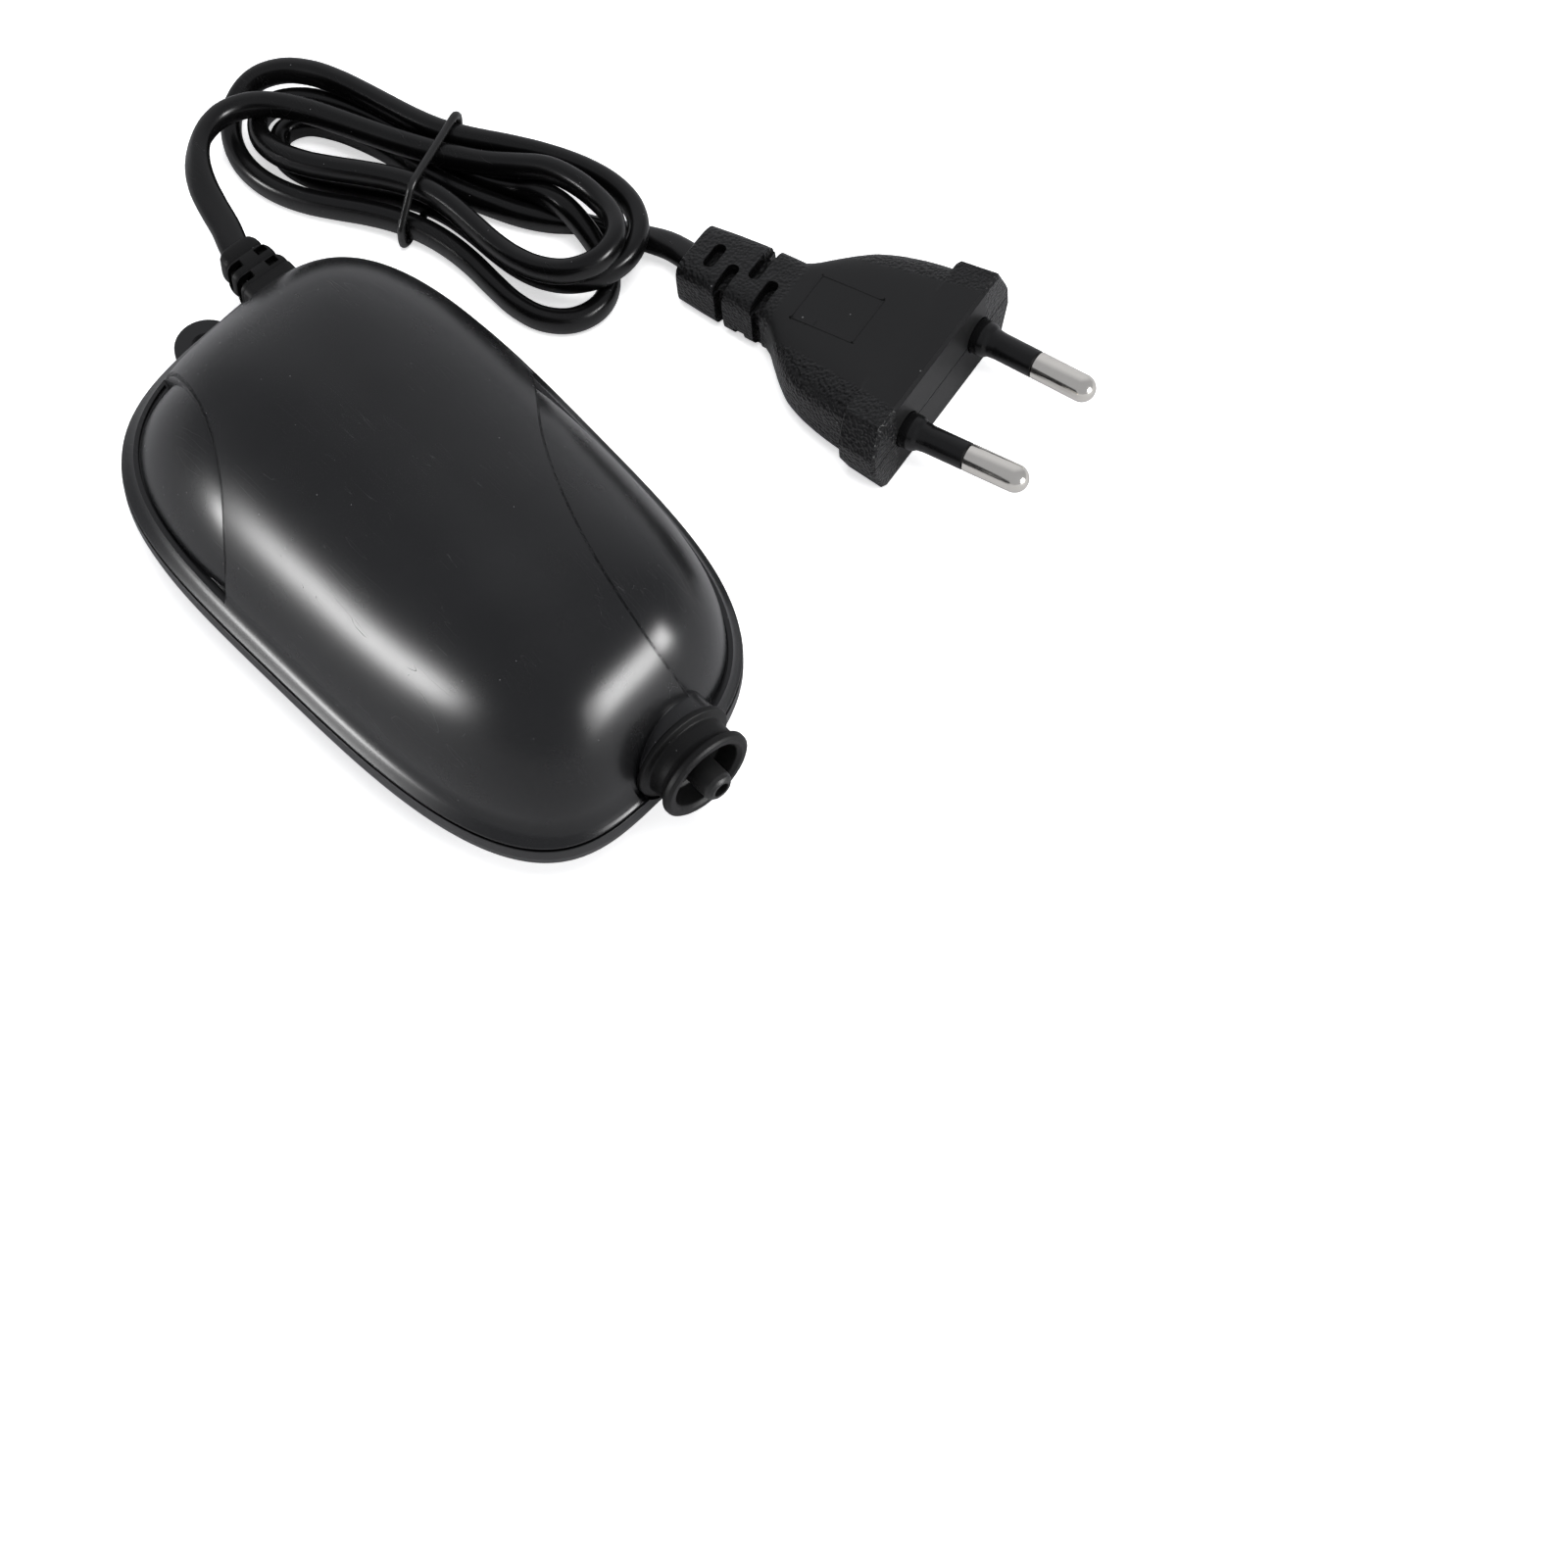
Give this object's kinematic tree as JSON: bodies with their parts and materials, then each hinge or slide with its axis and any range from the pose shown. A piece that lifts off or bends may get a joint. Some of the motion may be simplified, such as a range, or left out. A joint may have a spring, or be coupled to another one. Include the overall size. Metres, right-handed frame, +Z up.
{
  "type": "aquarium air pump",
  "caption": "Small mains aquarium air pump: domed glossy case, barbless outlet nipple in a rubber grommet, coiled flat cord with a flat two-pin plug, vibrating-arm diaphragm inside.",
  "frame": {"origin": "centre of the flat label pad under the lower casing", "axes": "+Z up, -Y towards the air outlet, +Y towards the cord end, +X towards the plug"},
  "size_m": [0.1165, 0.1385, 0.0356],
  "materials": {
    "gloss_plastic_black": "glossy charcoal ABS with fine dust and hairline scratches",
    "case_plastic_black": "satin black ABS",
    "rubber_black": "soft matte black rubber",
    "pvc_black": "semi-gloss soft PVC",
    "nylon_dark": "dark grey nylon",
    "nylon_white": "natural white nylon",
    "steel_zinc": "zinc-plated steel",
    "nickel": "nickel-plated brass, polished",
    "lamination_steel": "stacked electrical-steel laminations",
    "ferrite": "sintered ferrite",
    "copper_enamel": "enamelled copper wire",
    "wire_blue": "blue PVC insulation",
    "wire_brown": "brown PVC insulation",
    "felt_white": "pressed fibre felt"
  },
  "bodies": {
    "base": {"lower_casing": "case_plastic_black", "upper_casing": "gloss_plastic_black", "outlet_grommet": "rubber_black", "valve_chamber": "nylon_dark", "chamber_gasket": "rubber_black", "valve_plate": "nylon_white", "diaphragm": "rubber_black", "clamp_ring": "nylon_dark", "pivot_rubber": "rubber_black", "pivot_clip": "steel_zinc", "core_laminations": "lamination_steel", "coil_bobbin": "nylon_white", "coil_winding": "copper_enamel", "lead_wire_1": "pvc_black", "lead_wire_2": "pvc_black", "core_wire_1": "wire_blue", "core_wire_2": "wire_brown", "joint_sleeve_1": "nylon_white", "joint_sleeve_2": "nylon_white", "cord_clamp": "nylon_dark", "air_filter": "felt_white", "power_cord": "pvc_black", "strain_relief": "rubber_black", "cord_tie": "pvc_black", "plug_body": "pvc_black", "plug_pin_1": "nickel", "plug_pin_2": "nickel", "pin_sleeve_1": "pvc_black", "pin_sleeve_2": "pvc_black", "foot_1": "rubber_black", "casing_screw_1": "steel_zinc", "clamp_screw_1": "steel_zinc", "foot_2": "rubber_black", "casing_screw_2": "steel_zinc", "clamp_screw_2": "steel_zinc", "foot_3": "rubber_black", "casing_screw_3": "steel_zinc", "clamp_screw_3": "steel_zinc", "foot_4": "rubber_black", "casing_screw_4": "steel_zinc", "clamp_screw_4": "steel_zinc", "chamber_screw_1": "steel_zinc", "chamber_screw_2": "steel_zinc", "core_screw_1": "steel_zinc", "core_screw_2": "steel_zinc", "pivot_screw_1": "steel_zinc", "pivot_screw_2": "steel_zinc", "cord_clamp_screw_1": "steel_zinc", "cord_clamp_screw_2": "steel_zinc"},
    "swing_arm": {"vibrating_arm": "nylon_dark", "magnet_yoke": "steel_zinc", "arm_magnet": "ferrite", "diaphragm_disc": "nylon_white", "diaphragm_washer": "nylon_white", "diaphragm_screw": "steel_zinc"},
    "inlet_valve": {"inlet_flap": "rubber_black"},
    "outlet_valve": {"outlet_flap": "rubber_black"}
  },
  "joints": [
    {"name": "arm_swing", "type": "hinge", "parent": "base", "child": "swing_arm", "pos_m": [-0.0115, -0.0382, 0.011], "axis": [0, 0, 1], "range_deg": [-1.5, 1.5], "deforming": ["diaphragm"]},
    {"name": "inlet_flap_open", "type": "hinge", "parent": "base", "child": "inlet_valve", "pos_m": [-0.00421, -0.0213, 0.011], "axis": [0, 0, -1], "range_deg": [0, 10]},
    {"name": "outlet_flap_open", "type": "hinge", "parent": "base", "child": "outlet_valve", "pos_m": [-0.00174, -0.0318, 0.011], "axis": [0, 0, -1], "range_deg": [0, 12]}
  ]
}
